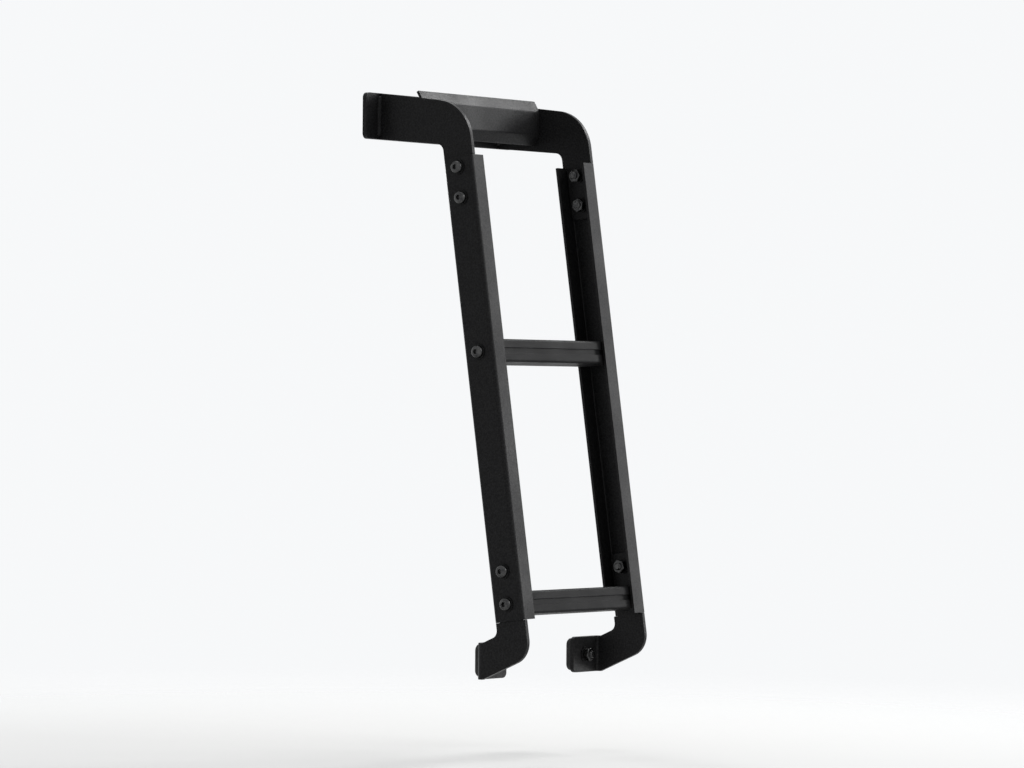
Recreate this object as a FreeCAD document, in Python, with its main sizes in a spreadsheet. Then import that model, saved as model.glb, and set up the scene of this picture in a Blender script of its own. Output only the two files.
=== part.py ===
"""Side ladder that hangs by a mounting plate at its top.

Two folded channel rails lean out from the top, joined by two rungs. A plate arm bolted into the
top of each rail carries it from the mounting plate, with a folded plate across the arms.
A plate foot bolted into the bottom of each rail holds it off what is behind, on a rubber pad.

Frame: +X forward along the rungs, +Y inboard, +Z up, origin at the centre of the mounting plate's
inboard face. Millimetres and degrees.
"""
import FreeCAD
import Part
import math
import os
import Sketcher

# Driving dimensions: name, size, what it measures
SIZES = (
    ("ladder_width", 230, "outer face of one rail to outer face of the other"),
    ("lean_angle", 8.5, "rails off the vertical, bottom outwards"),
    ("rail_reach", 143, "mounting face to the rails' centre line at the upper rung"),
    ("upper_rung_drop", 254, "origin down to the upper rung"),
    ("lower_rung_drop", 270, "upper rung down to the lower rung, along the rail"),
    ("web_depth", 38, "rail channel, over the flanges"),
    ("flange_width", 22, "rail channel, over the web"),
    ("rail_wall", 3, "rail sheet thickness"),
    ("rail_bend", 1.5, "inside radius of the rail's folds"),
    ("rail_head", 210, "upper rung to the rail's top end"),
    ("rail_tail", 18, "lower rung to the rail's bottom end"),
    ("flange_cutback", 14, "inboard flange stops short of the rail's bottom end"),
    ("bolt_hole", 9, "bolt hole diameter"),
    ("head_bolt_margin", 11, "rail's top end to the upper arm bolt"),
    ("arm_bolt_spacing", 33, "between the two arm bolts"),
    ("foot_bolt_rise", 35, "lower rung to the upper foot bolt"),
    ("strap_margin", 15, "last bolt to the end of an arm's or foot's strap"),
    ("strap_corner", 6, "corner radius of a strap's end"),
    ("nest_gap", 0.25, "gap between nested pieces and the channel's folds and ends"),
    ("plate_wall", 5, "mounting plate thickness"),
    ("plate_height", 50, "mounting plate height"),
    ("plate_overhang", 20, "mounting plate past each rail's outer face"),
    ("plate_corner", 6, "mounting plate corner radius"),
    ("slot_width", 9, "mounting bolt slots"),
    ("slot_length", 22, "mounting bolt slots, end to end"),
    ("inner_slot_span", 60, "between the two inner slots"),
    ("outer_slot_span", 170, "between the two outer slots"),
    ("arm_wall", 5, "arm plate thickness"),
    ("arm_height", 50, "arm at the mounting plate"),
    ("arm_depth", 38, "arm's inner corner up to its outer corner, along the rail"),
    ("head_gap", 17, "rail's top end up to the arm's inner corner"),
    ("elbow_radius", 48, "outer corner of the arm"),
    ("crook_radius", 9, "inner corner of the arm"),
    ("cross_reach", 61, "mounting face to the cross plate's outer face"),
    ("cross_rise", 2, "origin up to the cross plate's middle"),
    ("cross_face", 26, "flat middle of the cross plate"),
    ("cross_lip", 14, "each lip of the cross plate"),
    ("cross_fold", 32, "each lip, folded in from the flat"),
    ("cross_wall", 3, "cross plate thickness"),
    ("cross_bend", 2, "inside radius of the cross plate's folds"),
    ("rung_height", 25, "rung section"),
    ("rung_corner", 3, "long edges of the rung"),
    ("rung_deck", 3.6, "rung's top and bottom walls"),
    ("rung_side", 4.4, "rung's side walls"),
    ("rung_rib", 3, "rung's middle rib"),
    ("boss_size", 13, "screw boss diameter inside the rung"),
    ("boss_bore", 6.8, "thread bore of the screw boss"),
    ("side_groove", 6, "groove along each side of the rung"),
    ("side_groove_depth", 2, "depth of that groove"),
    ("tread_groove", 1.8, "width of a tread groove"),
    ("tread_groove_depth", 1.4, "depth of a tread groove"),
    ("tread_spacing", 4, "between tread grooves"),
    ("foot_wall", 5, "foot plate thickness"),
    ("foot_length", 45.5, "rail's centre line at its bottom end, in to the foot's end"),
    ("foot_sink", 44, "rail's bottom end down to the middle of the foot's end"),
    ("foot_height", 39, "foot's end, top to bottom"),
    ("foot_slope_angle", 23.5, "foot's edges, falling inwards"),
    ("heel_radius", 24, "outer corner of the foot"),
    ("instep_radius", 8, "inner corner of the foot"),
    ("flap_width", 50, "folded flap of the foot, over the plate"),
    ("flap_bend", 3, "inside radius of the flap's fold"),
    ("flap_land", 1, "straight edge of the foot beside the flap's fold"),
    ("flap_corner", 6, "free corners of the flap"),
    ("pad_bolt_inset", 28, "foot's outer face to the pad bolt"),
    ("pad_wall", 8, "rubber pad thickness"),
    ("pad_width", 38, "rubber pad along the rungs"),
    ("pad_height", 35, "rubber pad top to bottom"),
    ("pad_corner", 7, "rubber pad corner radius"),
    ("pad_bevel", 1.5, "bevelled rim of the rubber pad"),
    ("pad_recess", 17, "bolt head recess in the pad"),
    ("pad_recess_depth", 5, "depth of that recess"),
)
TREAD_GROOVES = 5
REAR = -1
FRONT = 1
SIDE_NAMES = {REAR: "rear", FRONT: "front"}
ALONG_X = FreeCAD.Vector(1, 0, 0)
ALONG_Y = FreeCAD.Vector(0, 1, 0)
ALONG_Z = FreeCAD.Vector(0, 0, 1)
EDGE_TOLERANCE = 0.02
# A place on an axis, kept a hair off zero so that a sketch can hold it by a distance
ON_AXIS = "0.0001"

doc = FreeCAD.newDocument("side_ladder")
sheet = doc.addObject("Spreadsheet::Sheet", "Sizes")
for row, (alias, amount, meaning) in enumerate(SIZES, 1):
    sheet.set(f"A{row}", alias)
    sheet.set(f"B{row}", str(amount))
    sheet.set(f"C{row}", meaning)
    sheet.setAlias(f"B{row}", alias)
doc.recompute()

# Shared places, as expressions on the sheet
HALF_WIDTH = "Sizes.ladder_width / 2"
INNER_WEB = f"({HALF_WIDTH} - Sizes.rail_wall)"
NEST_HALF = "(Sizes.web_depth / 2 - Sizes.rail_wall - Sizes.rail_bend - Sizes.nest_gap)"
LOWER_RUNG = "-Sizes.lower_rung_drop"
RAIL_BOTTOM = "(-Sizes.lower_rung_drop - Sizes.rail_tail)"
HEAD_BOLT = "Sizes.rail_head - Sizes.head_bolt_margin"
ARM_BOLTS = (f"({HEAD_BOLT} - Sizes.arm_bolt_spacing)", f"({HEAD_BOLT})")
FOOT_BOLTS = ("(Sizes.foot_bolt_rise - Sizes.lower_rung_drop)", LOWER_RUNG)
CROSS_SPAN = f"2 * ({INNER_WEB} - Sizes.arm_wall)"


def value(expression):
    """Number that an expression gives."""
    return float(sheet.evalExpression(str(expression)))


def on_rail(across, along):
    """(y, z) of a point set out inboard across the rail and up along it from the upper rung's bolt."""
    turn = "Sizes.lean_angle"
    y = f"(-Sizes.rail_reach + ({across}) * cos({turn}) + ({along}) * sin({turn}))"
    z = f"(-Sizes.upper_rung_drop - ({across}) * sin({turn}) + ({along}) * cos({turn}))"
    return y, z


def meet_rail(edge_y, edge_z, climb, across):
    """(y, z) where an edge that climbs inboard through a point meets a line along the rail."""
    lean = "tan(Sizes.lean_angle)"
    slope = f"tan({climb})"
    rail_y, rail_z = on_rail(across, "0")
    run = f"({rail_y} + {lean} * ({edge_z} - {slope} * ({edge_y}) - {rail_z}))"
    y = f"({run} / (1 - {lean} * {slope}))"
    z = f"({edge_z} + {slope} * ({y} - ({edge_y})))"
    return y, z


FOOT_Y = f"({on_rail('0', RAIL_BOTTOM)[0]} + Sizes.foot_length)"
FOOT_Z = f"({on_rail('0', RAIL_BOTTOM)[1]} - Sizes.foot_sink)"


def new_body(label):
    """Empty body under its own label."""
    body = doc.addObject("PartDesign::Body", label)
    body.Label = label
    return body


def hang_on_rail(body):
    """Turn a body drawn square to the rail into the rail's lean, about the upper rung's bolt."""
    body.Placement = FreeCAD.Placement(FreeCAD.Vector(), FreeCAD.Rotation(FreeCAD.Vector(-1, 0, 0), 1))
    body.setExpression("Placement.Base.y", "-Sizes.rail_reach")
    body.setExpression("Placement.Base.z", "-Sizes.upper_rung_drop")
    body.setExpression("Placement.Rotation.Angle", "Sizes.lean_angle")


def new_sketch(body, name, role, offset="0"):
    """Sketch on one of the body's own planes, moved along the plane's normal."""
    plane = next(feature for feature in body.Origin.OriginFeatures if feature.Role == role)
    sketch = body.newObject("Sketcher::SketchObject", f"{body.Name}_{name}")
    sketch.AttachmentSupport = (plane, [""])
    sketch.MapMode = "FlatFace"
    sketch.setExpression("AttachmentOffset.Base.z", offset)
    return sketch


def pin_point(sketch, geometry, position, spot):
    """Hold a point of the sketch at a pair of expressions."""
    for kind, expression in zip(("DistanceX", "DistanceY"), spot):
        place = Sketcher.Constraint(kind, -1, 1, geometry, position, value(expression))
        number = sketch.addConstraint(place)
        sketch.setExpression(f"Constraints[{number}]", expression)


def draw_outline(sketch, corners):
    """Closed outline of straight lines through corners that are pairs of expressions."""
    first = sketch.GeometryCount
    count = len(corners)
    places = [FreeCAD.Vector(value(across), value(up), 0) for across, up in corners]
    for number, place in enumerate(places):
        sketch.addGeometry(Part.LineSegment(place, places[(number + 1) % count]), False)
    for number, spot in enumerate(corners):
        after = first + (number + 1) % count
        sketch.addConstraint(Sketcher.Constraint("Coincident", first + number, 2, after, 1))
        pin_point(sketch, first + number, 1, spot)


def draw_box(sketch, low, high):
    """Rectangle between two corners."""
    draw_outline(sketch, (low, (high[0], low[1]), high, (low[0], high[1])))


def draw_circle(sketch, centre, diameter):
    """Circle of a given diameter about a centre."""
    place = FreeCAD.Vector(value(centre[0]), value(centre[1]), 0)
    circle = Part.Circle(place, ALONG_Z, value(diameter) / 2)
    geometry = sketch.addGeometry(circle, False)
    number = sketch.addConstraint(Sketcher.Constraint("Diameter", geometry, value(diameter)))
    sketch.setExpression(f"Constraints[{number}]", diameter)
    pin_point(sketch, geometry, 3, centre)


def pad(body, sketch, length, both_ways=False):
    """Add the sketch's area, drawn out along its normal."""
    feature = body.newObject("PartDesign::Pad", f"{sketch.Name}_pad")
    feature.Profile = sketch
    feature.Midplane = both_ways
    feature.setExpression("Length", length)
    doc.recompute()


def cut(body, sketch, length=None, reverse=False):
    """Remove the sketch's area to a depth, or right through both ways where no depth is given."""
    before = body.Shape.Volume
    feature = body.newObject("PartDesign::Pocket", f"{sketch.Name}_cut")
    feature.Profile = sketch
    if length is None:
        feature.Type = "ThroughAll"
        feature.Midplane = True
    else:
        feature.setExpression("Length", length)
        feature.Reversed = reverse
    doc.recompute()
    if body.Shape.Volume > before - 1:
        raise RuntimeError(f"{feature.Name} removes nothing")
    return feature


def round_edges(body, name, radius, axis, spots):
    """Round the edges along an axis that pass through the spots, given in the other two directions."""
    others = [number for number in range(3) if abs(axis[number]) < 0.5]
    base = body.Tip
    chosen = []
    for across, up in spots:
        place = (value(across), value(up))
        for number, edge in enumerate(base.Shape.Edges, 1):
            ends = [vertex.Point for vertex in edge.Vertexes]
            if len(ends) != 2 or (ends[1] - ends[0]).cross(axis).Length > EDGE_TOLERANCE:
                continue
            offset = [ends[0][other] - place[turn] for turn, other in enumerate(others)]
            if math.hypot(*offset) < EDGE_TOLERANCE:
                chosen.append(f"Edge{number}")
    if len(chosen) < len(spots):
        raise RuntimeError(f"{name} on {body.Label} finds {len(chosen)} of {len(spots)} edges")
    feature = body.newObject("PartDesign::Fillet", f"{body.Name}_{name}")
    feature.Base = (base, chosen)
    feature.setExpression("Radius", radius)
    doc.recompute()


def bevel_rim(body, name, width, depth):
    """Bevel the whole edge of the face that lies at a depth along Y."""
    base = body.Tip
    place = value(depth)
    chosen = []
    for number, edge in enumerate(base.Shape.Edges, 1):
        box = edge.BoundBox
        if abs(box.YMin - place) < EDGE_TOLERANCE and abs(box.YMax - place) < EDGE_TOLERANCE:
            chosen.append(f"Edge{number}")
    feature = body.newObject("PartDesign::Chamfer", f"{body.Name}_{name}")
    feature.Base = (base, chosen)
    feature.setExpression("Size", width)
    doc.recompute()


def mounting_plate():
    """Flat plate that carries the ladder on bolts through a row of slots."""
    body = new_body("rack_mounting_plate")
    half_length = f"({HALF_WIDTH} + Sizes.plate_overhang)"
    half_height = "Sizes.plate_height / 2"
    outline = new_sketch(body, "outline", "XZ_Plane")
    draw_box(outline, (f"-{half_length}", f"-{half_height}"), (half_length, half_height))
    pad(body, outline, "Sizes.plate_wall")
    corners = [(f"{a} * {half_length}", f"{b} * {half_height}") for a in (-1, 1) for b in (-1, 1)]
    round_edges(body, "corners", "Sizes.plate_corner", ALONG_Y, corners)
    slots = new_sketch(body, "slots", "XZ_Plane")
    slot_ends = new_sketch(body, "slot_ends", "XZ_Plane")
    half_run = "(Sizes.slot_length - Sizes.slot_width) / 2"
    half_width = "Sizes.slot_width / 2"
    for span in ("Sizes.inner_slot_span", "Sizes.outer_slot_span"):
        for side in (REAR, FRONT):
            low_end = f"{side} * {span} / 2 - {half_run}"
            high_end = f"{side} * {span} / 2 + {half_run}"
            draw_box(slots, (low_end, f"-{half_width}"), (high_end, half_width))
            draw_circle(slot_ends, (low_end, ON_AXIS), "Sizes.slot_width")
            draw_circle(slot_ends, (high_end, ON_AXIS), "Sizes.slot_width")
    cut(body, slots)
    cut(body, slot_ends)
    return body


def side_plate(label, side, wall, corners, bolts):
    """Plate cut to an outline that lies on the inner face of one rail's web, with its bolt holes."""
    body = new_body(label)
    offset = f"-{INNER_WEB}" if side == REAR else f"{INNER_WEB} - {wall}"
    outline = new_sketch(body, "outline", "YZ_Plane", offset)
    draw_outline(outline, corners)
    pad(body, outline, wall)
    holes = new_sketch(body, "holes", "YZ_Plane", offset)
    for along in bolts:
        draw_circle(holes, on_rail("0", along), "Sizes.bolt_hole")
    cut(body, holes)
    return body


def top_arm(side):
    """Arm from the mounting plate out to the rail: a strap nests in the channel under the elbow."""
    web_half = "Sizes.web_depth / 2"
    shoulder = "Sizes.rail_head + Sizes.nest_gap"
    strap_end = f"{ARM_BOLTS[0]} - Sizes.strap_margin"
    top = ("-Sizes.plate_wall", "Sizes.arm_height / 2")
    under = ("-Sizes.plate_wall", "-Sizes.arm_height / 2")
    crook = on_rail(web_half, "Sizes.rail_head + Sizes.head_gap")
    elbow = on_rail(f"-{web_half}", "Sizes.rail_head + Sizes.head_gap + Sizes.arm_depth")
    strap_outer = on_rail(f"-{NEST_HALF}", strap_end)
    strap_inner = on_rail(NEST_HALF, strap_end)
    corners = (
        top,
        elbow,
        on_rail(f"-{web_half}", shoulder),
        on_rail(f"-{NEST_HALF}", shoulder),
        strap_outer,
        strap_inner,
        on_rail(NEST_HALF, shoulder),
        on_rail(web_half, shoulder),
        crook,
        under,
    )
    body = side_plate(f"{SIDE_NAMES[side]}_top_arm", side, "Sizes.arm_wall", corners, ARM_BOLTS)
    round_edges(body, "elbow", "Sizes.elbow_radius", ALONG_X, [elbow])
    round_edges(body, "crook", "Sizes.crook_radius", ALONG_X, [crook])
    round_edges(body, "strap", "Sizes.strap_corner", ALONG_X, [strap_outer, strap_inner])
    return body


def cross_plate():
    """Folded plate between the arms, with a lip splayed in along its top and bottom."""
    body = new_body("top_cross_plate")
    face = "-Sizes.cross_reach"
    half = "Sizes.cross_face / 2"
    inset = "Sizes.cross_wall * tan(Sizes.cross_fold / 2)"
    lip_in = "Sizes.cross_lip * sin(Sizes.cross_fold)"
    lip_up = "Sizes.cross_lip * cos(Sizes.cross_fold)"
    skin_in = "Sizes.cross_wall * cos(Sizes.cross_fold)"
    skin_up = "Sizes.cross_wall * sin(Sizes.cross_fold)"

    def section_half(sign):
        """Fold line and lip edge of the outer skin, then of the inner skin."""
        heights = (half, f"{half} + {lip_up}", f"{half} + {lip_up} - {skin_up}", f"{half} - {inset}")
        depths = (face, f"{face} + {lip_in}", f"{face} + {lip_in} + {skin_in}", f"{face} + Sizes.cross_wall")
        return [(y, f"Sizes.cross_rise + {sign} * ({z})") for y, z in zip(depths, heights)]

    upper = section_half(1)
    lower = section_half(-1)
    section = new_sketch(body, "section", "YZ_Plane")
    draw_outline(section, upper + lower[::-1])
    pad(body, section, CROSS_SPAN, both_ways=True)
    round_edges(body, "inner_folds", "Sizes.cross_bend", ALONG_X, [upper[3], lower[3]])
    round_edges(body, "outer_folds", "Sizes.cross_bend + Sizes.cross_wall", ALONG_X, [upper[0], lower[0]])
    return body


def rail(side):
    """Folded channel with its web outwards, drawn square and then leaned."""
    body = new_body(f"{SIDE_NAMES[side]}_rail")
    outer = f"{side} * {HALF_WIDTH}"
    inner = f"{side} * {INNER_WEB}"
    lip = f"{side} * ({HALF_WIDTH} - Sizes.flange_width)"
    half = "Sizes.web_depth / 2"
    clear = f"({half} - Sizes.rail_wall)"
    section = new_sketch(body, "section", "XY_Plane", RAIL_BOTTOM)
    corners = (
        (outer, f"-{half}"),
        (lip, f"-{half}"),
        (lip, f"-{clear}"),
        (inner, f"-{clear}"),
        (inner, clear),
        (lip, clear),
        (lip, half),
        (outer, half),
    )
    draw_outline(section, corners)
    pad(body, section, f"Sizes.rail_head - {RAIL_BOTTOM}")
    inner_folds = [(inner, f"-{clear}"), (inner, clear)]
    outer_folds = [(outer, f"-{half}"), (outer, half)]
    round_edges(body, "inner_folds", "Sizes.rail_bend", ALONG_Z, inner_folds)
    round_edges(body, "outer_folds", "Sizes.rail_bend + Sizes.rail_wall", ALONG_Z, outer_folds)
    holes = new_sketch(body, "holes", "YZ_Plane")
    for along in (*ARM_BOLTS, ON_AXIS, *FOOT_BOLTS):
        draw_circle(holes, (ON_AXIS, along), "Sizes.bolt_hole")
    cut(body, holes)
    fold_end = f"{side} * ({INNER_WEB} - Sizes.rail_bend)"
    cutback = new_sketch(body, "cutback", "XZ_Plane")
    draw_box(cutback, (fold_end, RAIL_BOTTOM), (lip, f"{RAIL_BOTTOM} + Sizes.flange_cutback"))
    cut(body, cutback, "Sizes.web_depth")
    hang_on_rail(body)
    return body


def rung(label, along, span):
    """Hollow ribbed extrusion with a screw boss, grooved along its sides and its tread."""
    body = new_body(label)
    half_depth = NEST_HALF
    half_height = "Sizes.rung_height / 2"

    def height(offset):
        """Height of a point of the section, measured from the rung's middle."""
        return f"{along} + ({offset})"

    outline = new_sketch(body, "outline", "YZ_Plane")
    draw_box(outline, (f"-{half_depth}", height(f"-{half_height}")), (half_depth, height(half_height)))
    pad(body, outline, span, both_ways=True)
    corners = [(f"{a} * {half_depth}", height(f"{b} * {half_height}")) for a in (-1, 1) for b in (-1, 1)]
    round_edges(body, "corners", "Sizes.rung_corner", ALONG_X, corners)

    hollow = new_sketch(body, "hollow", "YZ_Plane")
    hollow_half = f"({half_depth} - Sizes.rung_side)"
    hollow_top = f"({half_height} - Sizes.rung_deck)"
    draw_box(hollow, (f"-{hollow_half}", height(f"-{hollow_top}")), (hollow_half, height(hollow_top)))
    cut(body, hollow)

    rib = new_sketch(body, "rib", "YZ_Plane")
    rib_half = "Sizes.rung_rib / 2"
    draw_box(rib, (f"-{rib_half}", height(f"-{hollow_top}")), (rib_half, height(hollow_top)))
    pad(body, rib, span, both_ways=True)
    boss = new_sketch(body, "boss", "YZ_Plane")
    draw_circle(boss, (ON_AXIS, height(ON_AXIS)), "Sizes.boss_size")
    pad(body, boss, span, both_ways=True)
    bore = new_sketch(body, "bore", "YZ_Plane")
    draw_circle(bore, (ON_AXIS, height(ON_AXIS)), "Sizes.boss_bore")
    cut(body, bore)

    grooves = new_sketch(body, "grooves", "YZ_Plane")
    groove_half = "Sizes.side_groove / 2"
    for side in (-1, 1):
        floor = f"{side} * ({half_depth} - Sizes.side_groove_depth)"
        mouth = f"{side} * ({half_depth} + Sizes.side_groove_depth)"
        draw_box(grooves, (floor, height(f"-{groove_half}")), (mouth, height(groove_half)))
    tread_floor = height(f"{half_height} - Sizes.tread_groove_depth")
    tread_mouth = height(f"{half_height} + Sizes.tread_groove_depth")
    for number in range(TREAD_GROOVES):
        middle = f"{number - (TREAD_GROOVES - 1) / 2} * Sizes.tread_spacing"
        left = f"{middle} - Sizes.tread_groove / 2"
        right = f"{middle} + Sizes.tread_groove / 2"
        draw_box(grooves, (left, tread_floor), (right, tread_mouth))
    cut(body, grooves)
    hang_on_rail(body)
    return body


def foot(side):
    """Foot from the rail's bottom in to its pad, with a flap folded inwards that holds the pad."""
    web_half = "Sizes.web_depth / 2"
    shoulder = f"{RAIL_BOTTOM} - Sizes.nest_gap"
    strap_end = f"{FOOT_BOLTS[0]} + Sizes.strap_margin"
    end_top = f"({FOOT_Z} + Sizes.foot_height / 2)"
    end_bottom = f"({FOOT_Z} - Sizes.foot_height / 2)"
    land = f"({FOOT_Y} - Sizes.foot_wall - Sizes.flap_bend - Sizes.flap_land)"
    instep = meet_rail(land, end_top, "-Sizes.foot_slope_angle", web_half)
    heel = meet_rail(land, end_bottom, "-Sizes.foot_slope_angle", f"-{web_half}")
    strap_outer = on_rail(f"-{NEST_HALF}", strap_end)
    strap_inner = on_rail(NEST_HALF, strap_end)
    corners = (
        (FOOT_Y, end_top),
        (land, end_top),
        instep,
        on_rail(web_half, shoulder),
        on_rail(NEST_HALF, shoulder),
        strap_inner,
        strap_outer,
        on_rail(f"-{NEST_HALF}", shoulder),
        on_rail(f"-{web_half}", shoulder),
        heel,
        (land, end_bottom),
        (FOOT_Y, end_bottom),
    )
    body = side_plate(f"{SIDE_NAMES[side]}_foot", side, "Sizes.foot_wall", corners, FOOT_BOLTS)
    round_edges(body, "heel", "Sizes.heel_radius", ALONG_X, [heel])
    round_edges(body, "instep", "Sizes.instep_radius", ALONG_X, [instep])
    round_edges(body, "strap", "Sizes.strap_corner", ALONG_X, [strap_outer, strap_inner])

    outer = f"{side} * {INNER_WEB}"
    inner = f"{side} * ({INNER_WEB} - Sizes.foot_wall)"
    free = f"{side} * ({INNER_WEB} - Sizes.flap_width)"
    flap = new_sketch(body, "flap", "XZ_Plane", f"-{FOOT_Y}")
    draw_box(flap, (free, end_bottom), (outer, end_top))
    pad(body, flap, "Sizes.foot_wall")
    round_edges(body, "flap_corners", "Sizes.flap_corner", ALONG_Y, [(free, end_bottom), (free, end_top)])
    fold_inside = (inner, f"{FOOT_Y} - Sizes.foot_wall")
    round_edges(body, "flap_inside", "Sizes.flap_bend", ALONG_Z, [fold_inside])
    fold_outside = (outer, FOOT_Y)
    round_edges(body, "flap_outside", "Sizes.flap_bend + Sizes.foot_wall", ALONG_Z, [fold_outside])
    hole = new_sketch(body, "pad_hole", "XZ_Plane", f"-{FOOT_Y}")
    draw_circle(hole, pad_centre(side), "Sizes.bolt_hole")
    cut(body, hole, "2 * Sizes.foot_wall", reverse=True)
    return body


def pad_centre(side):
    """(x, z) of the bolt that holds one foot's pad."""
    return f"{side} * ({INNER_WEB} - Sizes.pad_bolt_inset)", FOOT_Z


def foot_pad(side):
    """Rubber pad on the flap's inboard face, with a recess that sinks the bolt head."""
    body = new_body(f"{SIDE_NAMES[side]}_foot_pad")
    x, z = pad_centre(side)
    seat = f"-({FOOT_Y} + Sizes.pad_wall)"
    corners = [
        (f"{x} + {a} * Sizes.pad_width / 2", f"{z} + {b} * Sizes.pad_height / 2")
        for a, b in ((-1, -1), (1, -1), (1, 1), (-1, 1))
    ]
    outline = new_sketch(body, "outline", "XZ_Plane", seat)
    draw_outline(outline, corners)
    pad(body, outline, "Sizes.pad_wall")
    round_edges(body, "corners", "Sizes.pad_corner", ALONG_Y, corners)
    bevel_rim(body, "rim", "Sizes.pad_bevel", f"{FOOT_Y} + Sizes.pad_wall")
    hole = new_sketch(body, "hole", "XZ_Plane", seat)
    draw_circle(hole, (x, z), "Sizes.bolt_hole")
    cut(body, hole)
    recess = new_sketch(body, "recess", "XZ_Plane", seat)
    draw_circle(recess, (x, z), "Sizes.pad_recess")
    cut(body, recess, "Sizes.pad_recess_depth", reverse=True)
    return body


def check_document():
    """Stop if any object failed, or any piece is missing or not a sound solid."""
    for item in doc.Objects:
        if "Invalid" in item.State or "Error" in item.State:
            raise RuntimeError(f"{item.Label} failed: {item.State}")
    for piece in pieces:
        if piece.Shape.isNull() or not piece.Shape.isValid() or len(piece.Shape.Solids) != 1:
            raise RuntimeError(f"{piece.Label} is not one sound solid")


pieces = [mounting_plate(), cross_plate()]
for end in (REAR, FRONT):
    pieces += [top_arm(end), rail(end), foot(end), foot_pad(end)]
pieces.append(rung("upper_rung", "0", f"2 * {INNER_WEB}"))
pieces.append(rung("lower_rung", LOWER_RUNG, f"2 * ({INNER_WEB} - Sizes.foot_wall)"))
doc.recompute()
check_document()

os.makedirs("parts", exist_ok=True)
for piece in pieces:
    piece.Shape.exportStep(f"parts/{piece.Label}.step")
    box = piece.Shape.BoundBox
    print(f"{piece.Label}: {box.XLength:.1f} x {box.YLength:.1f} x {box.ZLength:.1f} mm")
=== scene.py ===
"""Finishes a bolt-on side ladder: coated steel, rungs, rubber pads, bolts, nuts, welds and a studio."""

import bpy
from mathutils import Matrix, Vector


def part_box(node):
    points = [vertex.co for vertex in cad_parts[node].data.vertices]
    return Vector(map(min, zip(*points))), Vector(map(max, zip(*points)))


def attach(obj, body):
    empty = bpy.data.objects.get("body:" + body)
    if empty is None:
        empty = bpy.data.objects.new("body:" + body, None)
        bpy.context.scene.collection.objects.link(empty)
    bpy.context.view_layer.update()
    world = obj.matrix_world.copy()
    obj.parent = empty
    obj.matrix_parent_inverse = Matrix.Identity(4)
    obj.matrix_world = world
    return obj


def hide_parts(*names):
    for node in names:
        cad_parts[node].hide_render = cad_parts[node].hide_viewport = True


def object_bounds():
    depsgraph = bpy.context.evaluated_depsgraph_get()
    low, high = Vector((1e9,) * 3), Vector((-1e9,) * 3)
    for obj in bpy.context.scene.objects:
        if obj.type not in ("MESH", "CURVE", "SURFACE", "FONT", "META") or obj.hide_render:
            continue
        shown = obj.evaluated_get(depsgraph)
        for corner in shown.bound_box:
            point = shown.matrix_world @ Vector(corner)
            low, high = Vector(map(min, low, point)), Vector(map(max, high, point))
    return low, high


bl_info = {
    "name": "Side ladder finish",
    "version": (1, 0, 0),
    "blender": (4, 5, 0),
    "location": "View3D > Sidebar > Ladder",
    "description": "Finishes a bolt-on side ladder and sets up a studio for it",
    "category": "Object",
}

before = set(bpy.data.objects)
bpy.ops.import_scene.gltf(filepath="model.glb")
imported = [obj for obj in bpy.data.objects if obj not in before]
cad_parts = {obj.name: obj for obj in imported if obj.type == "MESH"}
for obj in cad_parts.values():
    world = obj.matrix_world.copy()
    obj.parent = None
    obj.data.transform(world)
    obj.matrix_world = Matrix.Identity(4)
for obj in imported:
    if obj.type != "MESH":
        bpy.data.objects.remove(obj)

import math
from collections import namedtuple

import bpy
from bpy.props import FloatProperty, FloatVectorProperty, IntProperty, PointerProperty
from mathutils import Matrix, Vector

CAD_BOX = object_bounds()
ROOT = "root"

STEEL_NODES = (
    "rack_mounting_plate",
    "top_cross_plate",
    "rear_top_arm",
    "front_top_arm",
    "rear_rail",
    "front_rail",
    "rear_foot",
    "front_foot",
)
RUNG_NODES = ("upper_rung", "lower_rung")

# Each side and its sign along X
SIDES = {"rear": -1, "front": 1}

UP = Vector((0, 0, 1))
INBOARD = Vector((0, 1, 0))
FORWARD = Vector((1, 0, 0))
WHITE = (1, 1, 1, 1)

# Turn from one fastener to the next, so that no two sit alike
TURN_STEP = math.radians(23)

# Facets across a rounded edge, round a fastener and over a bolt head's dome
EDGE_STEPS = 3
FINE_STEPS = 2
ROUND_SIDES = 48
DOME_STEPS = 9

# Bolt head, as shares of its radius and of its rim
HEAD_FLAT_SHARE = 0.46
HEAD_SEAT_SHARE = 0.95
HEAD_RIM_EASE = 0.4

# Nut, as shares of its width over the flats: its round face and the blank that chamfers it
NUT_FACE_SHARE = 0.485
NUT_BLANK_SHARE = 0.62
NUT_CHAMFER = math.radians(27)

# Thread, as shares of its pitch, and its blunt end as a share of its root
THREAD_DEPTH = 0.55
CREST_START = 0.42
CREST_END = 0.56
THREAD_END_RISE = 0.4
THREAD_END_SHARE = 0.9

# Weld bead: one drop, its tilt, the mesh that melts drops together, and its share of the cross plate
DROP_SEGMENTS = 20
DROP_RINGS = 12
DROP_HEIGHT_SHARE = 0.62
DROP_TILT = math.radians(24)
VOXELS_IN_LEG = 9
FLOW_SHARE = 0.5
FLOW_PASSES = 2
CROSS_WELD_SHARE = 0.42

# Mesh cleaning, in metres and radians, and how much large faces rule the shading
MERGE_DISTANCE = 0.000002
CARVE_MERGE = 0.00001
FLAT_ANGLE = math.radians(0.4)
SHARP_ANGLE = math.radians(35)
SMOOTH_ANGLE = math.radians(40)
FACE_WEIGHT = 100

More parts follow.
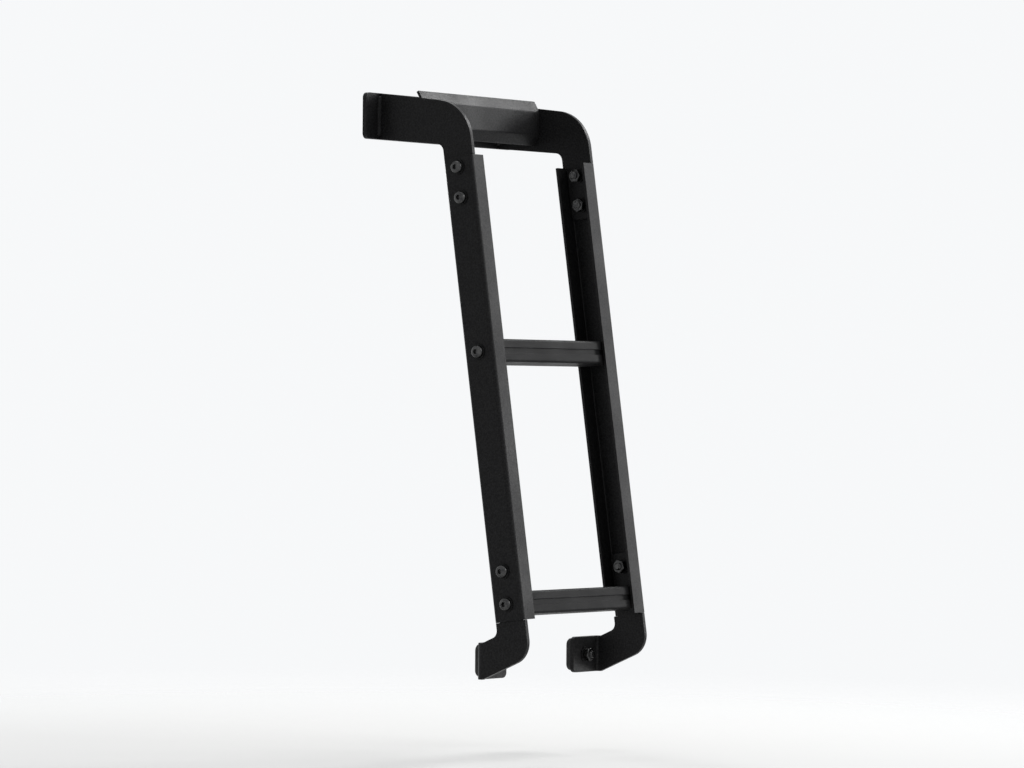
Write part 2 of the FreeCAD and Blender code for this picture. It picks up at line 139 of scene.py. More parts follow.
# Grain of the finishes: patches in a metre, finer layers, stretch along each axis, height in metres
Grain = namedtuple("Grain", "patches layers stretch height", defaults=((1, 1, 1), 0))
COAT_SPECKLE = Grain(560, 4)
COAT_CLOUDS = Grain(16, 6)
COAT_PEEL = Grain(850, 3, height=0.00012)
COAT_POWDER = Grain(2400, 1, height=0.00004)
RUNG_RUBBING = Grain(24, 4, stretch=(0.35, 1, 1))
RUNG_CLOUDS = Grain(40, 3, stretch=(0.5, 1, 1))
RUNG_DRAW_LINES = Grain(900, 2, stretch=(0.012, 1, 1), height=0.00011)
RUNG_PITS = Grain(700, 2, height=0.00005)
RUBBER_BLOOM = Grain(90, 5)
RUBBER_CLOUDS = Grain(200, 3)
RUBBER_PEBBLES = Grain(1100, 3, height=0.0001)
STEEL_STAINS = Grain(260, 4)
STEEL_CLOUDS = Grain(420, 3)
STEEL_MARKS = Grain(1800, 3, height=0.00002)

# How far the roughness drifts, and the part of the grain's range over which tone and roughness change
COAT_DRIFT = 0.08
RUNG_DRIFT = 0.07
RUBBER_DRIFT = 0.10
STEEL_DRIFT = 0.08
TONE_START = 0.35
TONE_END = 0.70
ROUGHNESS_START = 0.3
ROUGHNESS_END = 0.7

# Floor: facets, edge and start of the fade as shares of its reach, and its dull finish
FLOOR_SIDES = 96
FLOOR_EDGE = 1.1
FLOOR_FADE_START = 0.12
FLOOR_ROUGHNESS = 0.9
FLOOR_SHEEN = 0.1

# Lamps: place, then width and height, in metres
LAMPS = {
    "key": ((0.8, -2.9, 1.2), (1.6, 1.6)),
    "strip": ((2.3, -1.7, 0.15), (0.8, 1.8)),
    "high": ((2.2, -0.75, 1.3), (0.8, 0.8)),
    "back": ((1.5, 2.3, 0.7), (0.8, 1.8)),
    "top": ((0.2, 0.3, 2.0), (1.4, 1.4)),
}


# Sizes, colours and studio values


def length(name, description, metres):
    """A property for a length."""
    return FloatProperty(name=name, description=description, default=metres, unit="LENGTH", precision=5)


def colour(name, description, tone):
    """A property for a colour."""
    return FloatVectorProperty(name=name, description=description, default=tone, subtype="COLOR")


def share(name, description, part):
    """A property from 0 to 1."""
    return FloatProperty(name=name, description=description, default=part, subtype="FACTOR", min=0, max=1)


def watts(name, description, power):
    """A property for a lamp's power."""
    return FloatProperty(name=name, description=description, default=power, unit="POWER", min=0)


class LadderSizes(bpy.types.PropertyGroup):
    """Sizes of the fasteners, welds and softened edges"""

    steel_edge: length("Steel edge", "Rounding that the coat gives a cut steel edge", 0.0006)
    rung_edge: length("Rung edge", "Rounding on the rungs' sharp edges", 0.0003)
    pad_edge: length("Pad edge", "Rounding on the moulded pads' edges", 0.0012)
    fastener_edge: length("Fastener edge", "Rounding on the washers' edges and the nuts' corners", 0.00025)
    head_edge: length("Head edge", "Rounding on the bolt heads' edges", 0.0001)
    arm_bolt_low: length("Lower arm bolt", "Height over the upper rung, along the rail", 0.166)
    arm_bolt_high: length("Upper arm bolt", "Height over the upper rung, along the rail", 0.199)
    foot_bolt_rise: length("Foot bolt", "Height over the lower rung, along the rail", 0.035)
    head_width: length("Head width", "Width of a button head", 0.014)
    head_height: length("Head height", "Height of a button head", 0.0044)
    head_rim: length("Head rim", "Straight rim of a button head", 0.0006)
    socket_width: length("Socket width", "Width of the hexagon socket over its flats", 0.005)
    socket_depth: length("Socket depth", "Depth of the hexagon socket", 0.0026)
    washer_width: length("Washer width", "Outside width of a washer", 0.0165)
    washer_wall: length("Washer wall", "Thickness of a washer", 0.0016)
    shank_width: length("Shank width", "Outside width of the thread", 0.008)
    thread_pitch: length("Thread pitch", "Rise of the thread in a turn", 0.00125)
    thread_turns: IntProperty(name="Thread turns", description="Turns that stand out of a nut", default=2)
    nut_width: length("Nut width", "Width of a nut over its flats", 0.013)
    nut_height: length("Nut height", "Height of a nut", 0.0065)
    pad_recess: length("Pad recess", "Depth of the bolt recess in a pad", 0.005)
    flap_wall: length("Flap wall", "Thickness of a foot's flap", 0.005)
    cross_wall: length("Cross wall", "Thickness of the cross plate", 0.003)
    weld_leg: length("Weld leg", "Reach of a weld bead over each plate", 0.0042)
    weld_ripple: length("Weld ripple", "Step from one weld ripple to the next", 0.0021)
    weld_margin: length("Weld margin", "Plate left bare at each end of a weld", 0.004)


class LadderFinish(bpy.types.PropertyGroup):
    """Colours and gloss of the finishes"""

    coat_dark: colour("Coat", "Darker tone of the satin coat", (0.010, 0.010, 0.0105))
    coat_light: colour("Coat, speckled", "Lighter tone of the satin coat", (0.030, 0.030, 0.031))
    coat_roughness: share("Coat roughness", "Middle roughness of the satin coat", 0.38)
    coat_sheen: share("Coat sheen", "How strongly the satin coat mirrors its surroundings", 0.09)
    alloy_dark: colour("Rung", "Darker tone of the rungs", (0.010, 0.010, 0.0105))
    alloy_light: colour("Rung, worn", "Lighter tone of the rungs", (0.022, 0.022, 0.0225))
    alloy_roughness: share("Rung roughness", "Middle roughness of the rungs", 0.44)
    alloy_sheen: share("Rung sheen", "How strongly the rungs mirror their surroundings", 0.05)
    rubber_dark: colour("Rubber", "Darker tone of the pads", (0.010, 0.010, 0.010))
    rubber_light: colour("Rubber, dusty", "Lighter tone of the pads", (0.024, 0.024, 0.023))
    rubber_roughness: share("Rubber roughness", "Middle roughness of the pads", 0.78)
    steel_dark: colour("Fastener", "Darker tone of the dark fasteners", (0.035, 0.035, 0.036))
    steel_light: colour("Fastener, bright", "Brighter tone of the dark fasteners", (0.075, 0.075, 0.074))
    steel_roughness: share("Fastener roughness", "Middle roughness of the fasteners", 0.28)


class LadderStudio(bpy.types.PropertyGroup):
    """Camera, floor and light"""

    camera_place: FloatVectorProperty(
        name="Camera place",
        description="Where the camera stands",
        default=(-4.126, -3.102, -0.300),
        subtype="TRANSLATION",
    )
    camera_roll: FloatProperty(
        name="Camera roll",
        description="Turn of the camera about its view",
        default=math.radians(0.5),
        unit="ROTATION",
    )
    lens: FloatProperty(name="Lens", description="Focal length", default=165, unit="CAMERA", min=1)
    floor_drop: length("Floor drop", "Room between the feet and the floor", 0.085)
    floor_reach: length("Floor reach", "Where the floor has faded into the background", 1.7)
    floor_colour: colour("Floor", "Colour of the floor", (0.86, 0.86, 0.85))
    sky_colour: colour("Background", "Colour of the background", (0.93, 0.94, 0.95))
    sky_light: share("Sky light", "Strength of the light from all round", 0.22)
    key_power: watts("Key power", "Power of the large lamp outboard", 30)
    strip_power: watts("Strip power", "Power of the tall lamp in front", 31)
    high_power: watts("High power", "Power of the high lamp in front", 33)
    back_power: watts("Back power", "Power of the tall lamp inboard", 40)
    top_power: watts("Top power", "Power of the lamp overhead", 11)


# Places read from the frame


def middle(node):
    """Middle of a node's box."""
    low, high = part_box(node)
    return (Vector(low) + Vector(high)) / 2


def outer_face(node, sign):
    """Where a node's box ends along X, on the side that faces away from the ladder's middle."""
    low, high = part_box(node)
    return Vector(high).x if sign > 0 else Vector(low).x


def inner_face(node, sign):
    """Where a node's box ends along X, on the side that faces the ladder's middle."""
    return outer_face(node, -sign)


def bolt_line(sizes):
    """Names and places of the bolts along one rail, on the ladder's middle plane."""
    upper = middle("upper_rung")
    lower = middle("lower_rung")
    rail_up = (upper - lower).normalized()
    return {
        "upper_arm_bolt": upper + rail_up * sizes.arm_bolt_high,
        "lower_arm_bolt": upper + rail_up * sizes.arm_bolt_low,
        "upper_rung_bolt": upper,
        "foot_bolt": lower + rail_up * sizes.foot_bolt_rise,
        "lower_rung_bolt": lower,
    }


def rail_seats(sizes):
    """Name, seat and outward direction of each bolt on the outside of the rails."""
    for side, sign in SIDES.items():
        web = outer_face(f"{side}_rail", sign)
        for name, place in bolt_line(sizes).items():
            yield f"{side}_{name}", Vector((web, place.y, place.z)), FORWARD * sign


def nut_seats(sizes):
    """Name, seat and outward direction of each nut inside the rails and on the flaps."""
    line = bolt_line(sizes)
    for side, sign in SIDES.items():
        # A foot's strap lies between its rail and the lower rung, so a nut there sits at the rung's end
        straps = {
            "upper_arm_bolt": inner_face(f"{side}_top_arm", sign),
            "lower_arm_bolt": inner_face(f"{side}_top_arm", sign),
            "foot_bolt": outer_face("lower_rung", sign),
        }
        for name, face in straps.items():
            yield f"{side}_{name}", Vector((face, line[name].y, line[name].z)), FORWARD * -sign
        pad = f"{side}_foot_pad"
        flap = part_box(pad)[0][1] - sizes.flap_wall
        yield f"{side}_pad_bolt", Vector((middle(pad).x, flap, middle(pad).z)), -INBOARD


def recess_seats(sizes):
    """Name, seat and outward direction of each bolt head in a pad's recess."""
    for side in SIDES:
        pad = f"{side}_foot_pad"
        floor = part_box(pad)[1][1] - sizes.pad_recess
        yield f"{side}_pad_bolt", Vector((middle(pad).x, floor, middle(pad).z)), INBOARD


# Modelling helpers


def only(piece):
    """Makes one piece the whole selection and the active object."""
    bpy.ops.object.select_all(action="DESELECT")
    piece.select_set(True)
    bpy.context.view_layer.objects.active = piece


def select_all_inside():
    """Opens the active piece for editing with all of it selected."""
    bpy.ops.object.mode_set(mode="EDIT")
    bpy.ops.mesh.select_mode(type="VERT")
    bpy.ops.mesh.select_all(action="SELECT")


def close_edit():
    """Turns every face outwards and leaves edit mode."""
    bpy.ops.mesh.select_all(action="SELECT")
    bpy.ops.mesh.normals_make_consistent(inside=False)
    bpy.ops.object.mode_set(mode="OBJECT")


def apply_all(piece):
    """Applies the piece's modifiers in their order."""
    only(piece)
    for modifier in list(piece.modifiers):
        bpy.ops.object.modifier_apply(modifier=modifier.name)


def soften(piece, width, steps):
    """Rounds the sharp edges of a piece and smooths its shading."""
    bevel = piece.modifiers.new("Soft edges", "BEVEL")
    bevel.width = width
    bevel.segments = steps
    bevel.limit_method = "ANGLE"
    bevel.angle_limit = SHARP_ANGLE
    bevel.use_clamp_overlap = True
    apply_all(piece)
    bpy.ops.object.shade_smooth_by_angle(angle=SMOOTH_ANGLE)
    level = piece.modifiers.new("Level faces", "WEIGHTED_NORMAL")
    level.keep_sharp = True
    level.weight = FACE_WEIGHT
    apply_all(piece)


def copy_node(node, name):
    """Copies a node's mesh into a piece of its own, merged and with its flat faces whole."""
    piece = bpy.data.objects.new(name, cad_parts[node].data.copy())
    bpy.context.scene.collection.objects.link(piece)
    piece.data.materials.clear()
    only(piece)
    bpy.ops.mesh.customdata_custom_splitnormals_clear()
    select_all_inside()
    bpy.ops.mesh.remove_doubles(threshold=MERGE_DISTANCE)
    bpy.ops.mesh.dissolve_limited(angle_limit=FLAT_ANGLE)
    close_edit()
    return piece


def turned(name, profile, sides=ROUND_SIDES):
    """Raises a round piece along Z from a disc, ring by ring, from (radius, height) pairs."""
    (radius, height), *rings = profile
    bpy.ops.object.select_all(action="DESELECT")
    seat = (0, 0, height)
    bpy.ops.mesh.primitive_circle_add(vertices=sides, radius=radius, fill_type="NGON", location=seat)
    piece = bpy.context.object
    piece.name = name
    bpy.ops.object.transform_apply(location=True)
    select_all_inside()
    for next_radius, next_height in rings:
        bpy.ops.mesh.extrude_region_move(TRANSFORM_OT_translate={"value": (0, 0, next_height - height)})
        scale = next_radius / radius
        bpy.ops.transform.resize(value=(scale, scale, 1), center_override=(0, 0, 0))
        radius = next_radius
        height = next_height
    close_edit()
    return piece


def hexagon(name, width, low, high):
    """A hexagonal bar along Z, sized over its flats."""
    corner = width / math.sqrt(3)
    return turned(name, [(corner, low), (corner, high)], sides=6)


def carve(piece, tool, operation):
    """Cuts a piece with a tool, or keeps what they share, and deletes the tool."""
    cutter = piece.modifiers.new("Carve", "BOOLEAN")
    cutter.operation = operation
    cutter.solver = "EXACT"
    cutter.object = tool
    apply_all(piece)
    bpy.data.objects.remove(tool)
    select_all_inside()
    bpy.ops.mesh.remove_doubles(threshold=CARVE_MERGE)
    close_edit()


def joined(name, pieces):
    """Joins pieces into the first of them."""
    only(pieces[0])
    for piece in pieces:
        piece.select_set(True)
    bpy.ops.object.join()
    whole = bpy.context.object
    whole.name = name
    return whole


def copied_to(master, name, place, axis, turn):
    """Copies a fastener, stands its Z axis along the given axis and applies its place."""
    only(master)
    bpy.ops.object.duplicate(linked=False)
    piece = bpy.context.object
    piece.name = name
    stand = axis.to_track_quat("Z", "Y").to_matrix().to_4x4()
    piece.matrix_world = Matrix.Translation(place) @ stand @ Matrix.Rotation(turn, 4, "Z")
    bpy.ops.object.transform_apply(location=True, rotation=True, scale=True)
    return piece


def keep(piece, finish, node=None):
    """Gives a piece its finish and hangs it on the ladder."""
    piece.data.materials.clear()
    piece.data.materials.append(finish)
    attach(piece, ROOT)
    if node:
        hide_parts(node)


# Finishes


def new_finish(name):
    """Starts a finish and returns it with its shader."""
    finish = bpy.data.materials.new(name)
    finish.use_nodes = True
    return finish, finish.node_tree.nodes["Principled BSDF"]


def add_grain(finish, grain):
    """Adds a grain on the piece's own coordinates and returns its output."""
    nodes = finish.node_tree.nodes
    links = finish.node_tree.links
    place = nodes.new("ShaderNodeTexCoord")
    stretch = nodes.new("ShaderNodeMapping")
    stretch.inputs["Scale"].default_value = grain.stretch
    noise = nodes.new("ShaderNodeTexNoise")
    noise.inputs["Scale"].default_value = grain.patches
    noise.inputs["Detail"].default_value = grain.layers
    links.new(place.outputs["Object"], stretch.inputs["Vector"])
    links.new(stretch.outputs["Vector"], noise.inputs["Vector"])
    return noise.outputs["Fac"]


def vary_colour(finish, shader, grain, dark, light):
    """Lets the colour change between two tones with a grain."""
    ramp = finish.node_tree.nodes.new("ShaderNodeValToRGB")
    stops = ramp.color_ramp.elements
    for stop, position, tone in zip(stops, (TONE_START, TONE_END), (dark, light)):
        stop.position = position
        stop.color = (*tone, 1)
    finish.node_tree.links.new(add_grain(finish, grain), ramp.inputs["Fac"])
    finish.node_tree.links.new(ramp.outputs["Color"], shader.inputs["Base Color"])


def vary_roughness(finish, shader, grain, centre, drift):
    """Lets the roughness drift around its middle value with a grain."""
    span = finish.node_tree.nodes.new("ShaderNodeMapRange")
    span.inputs["From Min"].default_value = ROUGHNESS_START
    span.inputs["From Max"].default_value = ROUGHNESS_END
    span.inputs["To Min"].default_value = centre - drift
    span.inputs["To Max"].default_value = centre + drift
    finish.node_tree.links.new(add_grain(finish, grain), span.inputs["Value"])
    finish.node_tree.links.new(span.outputs["Result"], shader.inputs["Roughness"])


def raise_grain(finish, shader, *grains):
    """Stacks grains as bumps, each over the one before."""
    links = finish.node_tree.links
    below = None
    for grain in grains:
        bump = finish.node_tree.nodes.new("ShaderNodeBump")
        bump.inputs["Distance"].default_value = grain.height
        links.new(add_grain(finish, grain), bump.inputs["Height"])
        if below:
            links.new(below, bump.inputs["Normal"])
        below = bump.outputs["Normal"]
    links.new(below, shader.inputs["Normal"])


def satin_coat(values):
    """Black powder coat: a speckled orange-peel skin with soft changes in gloss."""
    finish, shader = new_finish("satin_black_coat")
    vary_colour(finish, shader, COAT_SPECKLE, values.coat_dark, values.coat_light)
    vary_roughness(finish, shader, COAT_CLOUDS, values.coat_roughness, COAT_DRIFT)
    raise_grain(finish, shader, COAT_PEEL, COAT_POWDER)
    shader.inputs["Specular IOR Level"].default_value = values.coat_sheen
    return finish


def drawn_alloy(values):
    """Black extruded alloy: fine draw lines along the rung."""
    finish, shader = new_finish("black_drawn_alloy")
    vary_colour(finish, shader, RUNG_RUBBING, values.alloy_dark, values.alloy_light)
    vary_roughness(finish, shader, RUNG_CLOUDS, values.alloy_roughness, RUNG_DRIFT)
    raise_grain(finish, shader, RUNG_DRAW_LINES, RUNG_PITS)
    shader.inputs["Specular IOR Level"].default_value = values.alloy_sheen
    return finish


def moulded_rubber(values):
    """Dull black rubber with a pebbled skin and a dusty bloom."""
    finish, shader = new_finish("moulded_black_rubber")
    vary_colour(finish, shader, RUBBER_BLOOM, values.rubber_dark, values.rubber_light)
    vary_roughness(finish, shader, RUBBER_CLOUDS, values.rubber_roughness, RUBBER_DRIFT)
    raise_grain(finish, shader, RUBBER_PEBBLES)
    return finish


def bare_steel(values):
    """Dull dark fastener steel with faint stains and tool marks."""
    finish, shader = new_finish("dull_fastener_steel")
    vary_colour(finish, shader, STEEL_STAINS, values.steel_dark, values.steel_light)
    vary_roughness(finish, shader, STEEL_CLOUDS, values.steel_roughness, STEEL_DRIFT)
    raise_grain(finish, shader, STEEL_MARKS)
    shader.inputs["Metallic"].default_value = 1
    return finish


def finish_named(name, maker):
    """Returns a finish, made the first time it is asked for."""
    return bpy.data.materials.get(name) or maker(bpy.context.scene.ladder_finish)


# Fasteners, modelled once along Z with their seat at the origin


def washer(sizes):
    """A flat washer with eased edges."""
    inner = sizes.shank_width / 2
    outer = sizes.washer_width / 2
    wall = sizes.washer_wall
    disc = turned("washer", [(outer, 0), (outer, wall)])
    hole = turned("washer_hole", [(inner, -wall), (inner, 2 * wall)])
    carve(disc, hole, "DIFFERENCE")
    soften(disc, sizes.fastener_edge, FINE_STEPS)
    return disc


def button_head(sizes):
    """A domed head with a hexagon socket."""
    radius = sizes.head_width / 2
    flat = radius * HEAD_FLAT_SHARE
    rim = sizes.head_rim
    dome = sizes.head_height - rim
    profile = [(radius * HEAD_SEAT_SHARE, 0), (radius, rim * HEAD_RIM_EASE), (radius, rim)]
    for step in range(1, DOME_STEPS + 1):
        angle = math.pi / 2 * step / DOME_STEPS
        profile.append((flat + (radius - flat) * math.cos(angle), rim + dome * math.sin(angle)))
    head = turned("button_head", profile)
    top = sizes.head_height
    socket = hexagon("socket", sizes.socket_width, top - sizes.socket_depth, top + sizes.socket_depth)
    carve(head, socket, "DIFFERENCE")
    soften(head, sizes.head_edge, FINE_STEPS)
    return head


def nut_and_thread(sizes):
    """A chamfered nut and the end of the thread that stands out of it."""
    top = sizes.nut_height
    face = sizes.nut_width * NUT_FACE_SHARE
    wide = sizes.nut_width * NUT_BLANK_SHARE
    chamfer = (wide - face) * math.tan(NUT_CHAMFER)
    nut = hexagon("nut", sizes.nut_width, 0, top)
    soften(nut, sizes.fastener_edge, FINE_STEPS)
    blank = turned("nut_blank", [(face, 0), (wide, chamfer), (wide, top - chamfer), (face, top)])
    carve(nut, blank, "INTERSECT")
    bpy.ops.object.shade_smooth_by_angle(angle=SMOOTH_ANGLE)
    crest = sizes.shank_width / 2
    pitch = sizes.thread_pitch
    root = crest - pitch * THREAD_DEPTH
    thread = [(root, top - pitch), (root, top)]
    for turn in range(sizes.thread_turns):
        low = top + turn * pitch
        thread += [(crest, low + pitch * height) for height in (CREST_START, CREST_END)]
        thread.append((root, low + pitch))
    thread.append((root * THREAD_END_SHARE, thread[-1][1] + pitch * THREAD_END_RISE))
    return joined("nut_master", [nut, turned("thread", thread)])


def fit(master, seats, ending, lift, finish):
    """Copies a fastener to each seat, lifted off it, each turned a little further than the last."""
    for number, (name, seat, outward) in enumerate(seats):
        piece = copied_to(master, f"{name}{ending}", seat + outward * lift, outward, TURN_STEP * number)
        keep(piece, finish)


# Weld beads


def weld_bead(name, corner, run, open_x, open_y, sizes):
    """A rippled upright bead that fills the corner where two plates meet, open along X and Y."""
    leg = sizes.weld_leg
    count = max(2, round((run - leg) / sizes.weld_ripple) + 1)
    bottom = corner - UP * (count - 1) * sizes.weld_ripple / 2
    bpy.ops.object.select_all(action="DESELECT")
    bpy.ops.mesh.primitive_uv_sphere_add(
        segments=DROP_SEGMENTS, ring_count=DROP_RINGS, radius=leg, location=bottom
    )
    bead = bpy.context.object
    bead.name = name
    bead.scale = (1, 1, DROP_HEIGHT_SHARE)
    bead.rotation_euler = (DROP_TILT * open_y, 0, 0)
    bpy.ops.object.transform_apply(location=True, rotation=True, scale=True)
    ripples = bead.modifiers.new("Ripples", "ARRAY")
    ripples.count = count
    ripples.use_relative_offset = False
    ripples.use_constant_offset = True
    ripples.constant_offset_displace = UP * sizes.weld_ripple
    melt = bead.modifiers.new("Melt", "REMESH")
    melt.mode = "VOXEL"
    melt.voxel_size = leg / VOXELS_IN_LEG
    flow = bead.modifiers.new("Flow", "SMOOTH")
    flow.factor = FLOW_SHARE
    flow.iterations = FLOW_PASSES
    apply_all(bead)
    for normal in (FORWARD * open_x, INBOARD * open_y):
        select_all_inside()
        bpy.ops.mesh.bisect(
            plane_co=corner, plane_no=normal, use_fill=True, clear_inner=True, threshold=MERGE_DISTANCE
        )
        close_edit()
    bpy.ops.object.shade_smooth_by_angle(angle=SMOOTH_ANGLE)
    return bead


# Operators, one for each group of like pieces


class LADDER_OT_coat_steel(bpy.types.Operator):
    """Softens the cut edges of the steel pieces and gives them the satin coat"""

    bl_idname = "ladder.coat_steel"
    bl_label = "Coat the steel"
    bl_options = {"REGISTER", "UNDO"}

    def execute(self, context):
        sizes = context.scene.ladder_sizes
        for node in STEEL_NODES:
            piece = copy_node(node, f"{node}_coated")
            soften(piece, sizes.steel_edge, EDGE_STEPS)
            keep(piece, finish_named("satin_black_coat", satin_coat), node)
        return {"FINISHED"}


class LADDER_OT_finish_rungs(bpy.types.Operator):
    """Eases the edges of the grooved rungs and gives them drawn black alloy"""

    bl_idname = "ladder.finish_rungs"
    bl_label = "Finish the rungs"
    bl_options = {"REGISTER", "UNDO"}

    def execute(self, context):
        sizes = context.scene.ladder_sizes
        for node in RUNG_NODES:
            piece = copy_node(node, f"{node}_drawn")
            soften(piece, sizes.rung_edge, FINE_STEPS)
            keep(piece, finish_named("black_drawn_alloy", drawn_alloy), node)
        return {"FINISHED"}


class LADDER_OT_mould_pads(bpy.types.Operator):
    """Rounds the foot pads and gives them dull rubber"""

    bl_idname = "ladder.mould_pads"
    bl_label = "Mould the foot pads"
    bl_options = {"REGISTER", "UNDO"}

    def execute(self, context):
        sizes = context.scene.ladder_sizes
        for side in SIDES:
            node = f"{side}_foot_pad"
            piece = copy_node(node, f"{node}_moulded")
            soften(piece, sizes.pad_edge, EDGE_STEPS)
            keep(piece, finish_named("moulded_black_rubber", moulded_rubber), node)
        return {"FINISHED"}


class LADDER_OT_fit_washers(bpy.types.Operator):
    """Fits a coated washer under each bolt head on the rails and under each nut"""

    bl_idname = "ladder.fit_washers"
    bl_label = "Fit the washers"
    bl_options = {"REGISTER", "UNDO"}

    def execute(self, context):
        sizes = context.scene.ladder_sizes
        finish = finish_named("satin_black_coat", satin_coat)
        master = washer(sizes)
        fit(master, rail_seats(sizes), "_washer", 0, finish)
        fit(master, nut_seats(sizes), "_nut_washer", 0, finish)
        bpy.data.objects.remove(master)
        return {"FINISHED"}


class LADDER_OT_fit_bolts(bpy.types.Operator):
    """Fits button heads along the outside of both rails and in the pads' recesses"""

    bl_idname = "ladder.fit_bolts"
    bl_label = "Fit the bolts"
    bl_options = {"REGISTER", "UNDO"}

    def execute(self, context):
        sizes = context.scene.ladder_sizes
        finish = finish_named("dull_fastener_steel", bare_steel)
        master = button_head(sizes)
        fit(master, rail_seats(sizes), "_head", sizes.washer_wall, finish)
        fit(master, recess_seats(sizes), "_head", 0, finish)
        bpy.data.objects.remove(master)
        return {"FINISHED"}


class LADDER_OT_fit_nuts(bpy.types.Operator):
    """Fits nuts and thread ends inside the rails and on the feet's flaps"""

    bl_idname = "ladder.fit_nuts"
    bl_label = "Fit the nuts"
    bl_options = {"REGISTER", "UNDO"}

    def execute(self, context):
        sizes = context.scene.ladder_sizes
        finish = finish_named("dull_fastener_steel", bare_steel)
        master = nut_and_thread(sizes)
        fit(master, nut_seats(sizes), "_nut", sizes.washer_wall, finish)
        bpy.data.objects.remove(master)
        return {"FINISHED"}


class LADDER_OT_lay_welds(bpy.types.Operator):
    """Lays weld beads where the arms meet the mounting plate and where the cross plate meets the arms"""

    bl_idname = "ladder.lay_welds"
    bl_label = "Lay the welds"
    bl_options = {"REGISTER", "UNDO"}

    def execute(self, context):
        sizes = context.scene.ladder_sizes
        finish = finish_named("satin_black_coat", satin_coat)
        plate_low, plate_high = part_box("rack_mounting_plate")
        plate_face = plate_low[1]
        plate_length = plate_high[2] - plate_low[2] - 2 * sizes.weld_margin
        plate_middle = middle("rack_mounting_plate").z
        cross_low, cross_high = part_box("top_cross_plate")
        cross_back = cross_low[1] + sizes.cross_wall
        cross_length = (cross_high[2] - cross_low[2]) * CROSS_WELD_SHARE
        for side, sign in SIDES.items():
            arm = f"{side}_top_arm"
            for place, face, out in (
                ("outer", outer_face(arm, sign), sign),
                ("inner", inner_face(arm, sign), -sign),
            ):
                corner = Vector((face, plate_face, plate_middle))
                bead = weld_bead(f"{side}_{place}_weld", corner, plate_length, out, -1, sizes)
                keep(bead, finish)
            corner = Vector((inner_face(arm, sign), cross_back, middle("top_cross_plate").z))
            bead = weld_bead(f"{side}_cross_weld", corner, cross_length, -sign, 1, sizes)
            keep(bead, finish)
        return {"FINISHED"}


# The studio


def add_floor(studio):
    """A round pale floor that fades into the background."""
    centre = (0, 0, CAD_BOX[0].z - studio.floor_drop)
    edge = studio.floor_reach * FLOOR_EDGE
    bpy.ops.object.select_all(action="DESELECT")
    bpy.ops.mesh.primitive_circle_add(vertices=FLOOR_SIDES, radius=edge, fill_type="NGON", location=centre)
    floor = bpy.context.object
    floor.name = "studio_floor"
    bpy.ops.object.transform_apply(location=True)
    finish, shader = new_finish("pale_floor")
    nodes = finish.node_tree.nodes
    links = finish.node_tree.links
    shader.inputs["Base Color"].default_value = (*studio.floor_colour, 1)
    shader.inputs["Roughness"].default_value = FLOOR_ROUGHNESS
    shader.inputs["Specular IOR Level"].default_value = FLOOR_SHEEN
    place = nodes.new("ShaderNodeTexCoord")
    distance = nodes.new("ShaderNodeVectorMath")
    distance.operation = "LENGTH"
    fade = nodes.new("ShaderNodeMapRange")
    fade.interpolation_type = "SMOOTHSTEP"
    fade.inputs["From Min"].default_value = studio.floor_reach * FLOOR_FADE_START
    fade.inputs["From Max"].default_value = studio.floor_reach
    clear = nodes.new("ShaderNodeBsdfTransparent")
    mix = nodes.new("ShaderNodeMixShader")
    links.new(place.outputs["Object"], distance.inputs[0])
    links.new(distance.outputs["Value"], fade.inputs["Value"])
    links.new(fade.outputs["Result"], mix.inputs["Fac"])
    links.new(shader.outputs["BSDF"], mix.inputs[1])
    links.new(clear.outputs["BSDF"], mix.inputs[2])
    links.new(mix.outputs["Shader"], nodes["Material Output"].inputs["Surface"])
    floor.data.materials.append(finish)


def add_lamp(name, place, target, spread, power):
    """A soft rectangular lamp that points at a target."""
    data = bpy.data.lights.new(name, "AREA")
    data.shape = "RECTANGLE"
    data.size, data.size_y = spread
    data.energy = power
    lamp = bpy.data.objects.new(name, data)
    bpy.context.scene.collection.objects.link(lamp)
    lamp.location = place
    lamp.rotation_euler = (target - lamp.location).to_track_quat("-Z", "Y").to_euler()


def light_background(studio):
    """A pale background that also shows in gloss, with a softer light of its own on the object."""
    world = bpy.data.worlds.new("pale_studio")
    bpy.context.scene.world = world
    world.use_nodes = True
    nodes = world.node_tree.nodes
    links = world.node_tree.links
    light = nodes["Background"]
    light.inputs["Color"].default_value = WHITE
    light.inputs["Strength"].default_value = studio.sky_light
    shown = nodes.new("ShaderNodeBackground")
    shown.inputs["Color"].default_value = (*studio.sky_colour, 1)
    rays = nodes.new("ShaderNodeLightPath")
    either = nodes.new("ShaderNodeMath")
    either.operation = "MAXIMUM"
    any_ray = nodes.new("ShaderNodeMath")
    any_ray.operation = "MAXIMUM"
    mix = nodes.new("ShaderNodeMixShader")
    links.new(rays.outputs["Is Camera Ray"], either.inputs[0])
    links.new(rays.outputs["Is Glossy Ray"], either.inputs[1])
    links.new(either.outputs["Value"], any_ray.inputs[0])
    links.new(rays.outputs["Is Transmission Ray"], any_ray.inputs[1])
    links.new(any_ray.outputs["Value"], mix.inputs["Fac"])
    links.new(light.outputs["Background"], mix.inputs[1])
    links.new(shown.outputs["Background"], mix.inputs[2])
    links.new(mix.outputs["Shader"], nodes["World Output"].inputs["Surface"])


def add_camera(studio, target):
    """A camera that looks at a target, turned a little about its view."""
    data = bpy.data.cameras.new("photo_view")
    data.lens = studio.lens
    camera = bpy.data.objects.new("photo_view", data)
    bpy.context.scene.collection.objects.link(camera)
    camera.location = studio.camera_place
    level = (target - camera.location).to_track_quat("-Z", "Y").to_matrix()
    camera.rotation_euler = (level @ Matrix.Rotation(studio.camera_roll, 3, "Z")).to_euler()
    return camera


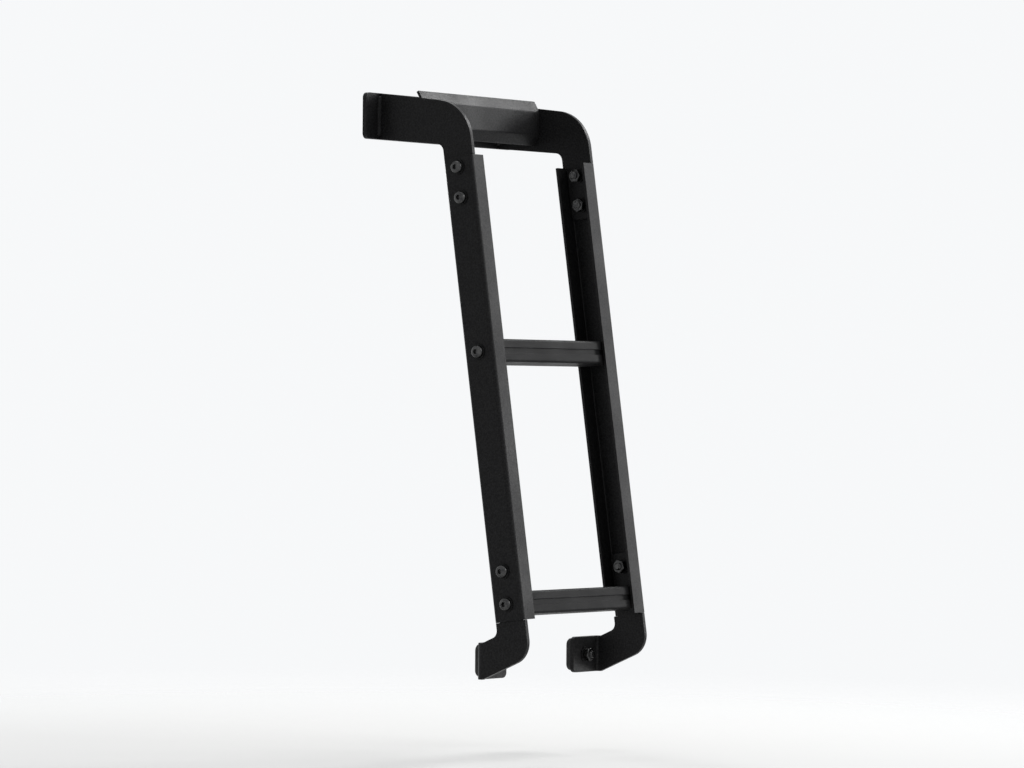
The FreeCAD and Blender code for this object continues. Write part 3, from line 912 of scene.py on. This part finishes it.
class LADDER_OT_set_stage(bpy.types.Operator):
    """Sets the floor, the lamps, the background and the camera"""

    bl_idname = "ladder.set_stage"
    bl_label = "Set the stage"
    bl_options = {"REGISTER", "UNDO"}

    def execute(self, context):
        scene = context.scene
        studio = scene.ladder_studio
        low, high = CAD_BOX
        target = (low + high) / 2
        add_floor(studio)
        light_background(studio)
        for name, (place, spread) in LAMPS.items():
            add_lamp(f"{name}_lamp", place, target, spread, getattr(studio, f"{name}_power"))
        scene.camera = add_camera(studio, target)
        scene.view_settings.view_transform = "Standard"
        return {"FINISHED"}


OPERATORS = (
    LADDER_OT_coat_steel,
    LADDER_OT_finish_rungs,
    LADDER_OT_mould_pads,
    LADDER_OT_fit_washers,
    LADDER_OT_fit_bolts,
    LADDER_OT_fit_nuts,
    LADDER_OT_lay_welds,
    LADDER_OT_set_stage,
)


class LADDER_PT_finish(bpy.types.Panel):
    """Lists the ladder's operators, sizes and colours"""

    bl_idname = "LADDER_PT_finish"
    bl_label = "Side ladder"
    bl_space_type = "VIEW_3D"
    bl_region_type = "UI"
    bl_category = "Ladder"

    def draw(self, context):
        for operator in OPERATORS:
            self.layout.operator(operator.bl_idname)
        scene = context.scene
        for group in (scene.ladder_sizes, scene.ladder_finish, scene.ladder_studio):
            box = self.layout.box()
            for name in group.__annotations__:
                box.prop(group, name)


CLASSES = (LadderSizes, LadderFinish, LadderStudio, *OPERATORS, LADDER_PT_finish)


def register():
    """Registers the classes and hangs their values on the scene."""
    for item in CLASSES:
        bpy.utils.register_class(item)
    bpy.types.Scene.ladder_sizes = PointerProperty(type=LadderSizes)
    bpy.types.Scene.ladder_finish = PointerProperty(type=LadderFinish)
    bpy.types.Scene.ladder_studio = PointerProperty(type=LadderStudio)


def unregister():
    """Takes the values and the classes away again."""
    del bpy.types.Scene.ladder_studio
    del bpy.types.Scene.ladder_finish
    del bpy.types.Scene.ladder_sizes
    for item in reversed(CLASSES):
        bpy.utils.unregister_class(item)


def main():
    """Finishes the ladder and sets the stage."""
    register()
    bpy.ops.ladder.coat_steel()
    bpy.ops.ladder.finish_rungs()
    bpy.ops.ladder.mould_pads()
    bpy.ops.ladder.fit_washers()
    bpy.ops.ladder.fit_bolts()
    bpy.ops.ladder.fit_nuts()
    bpy.ops.ladder.lay_welds()
    bpy.ops.ladder.set_stage()


if __name__ == "__main__":
    main()
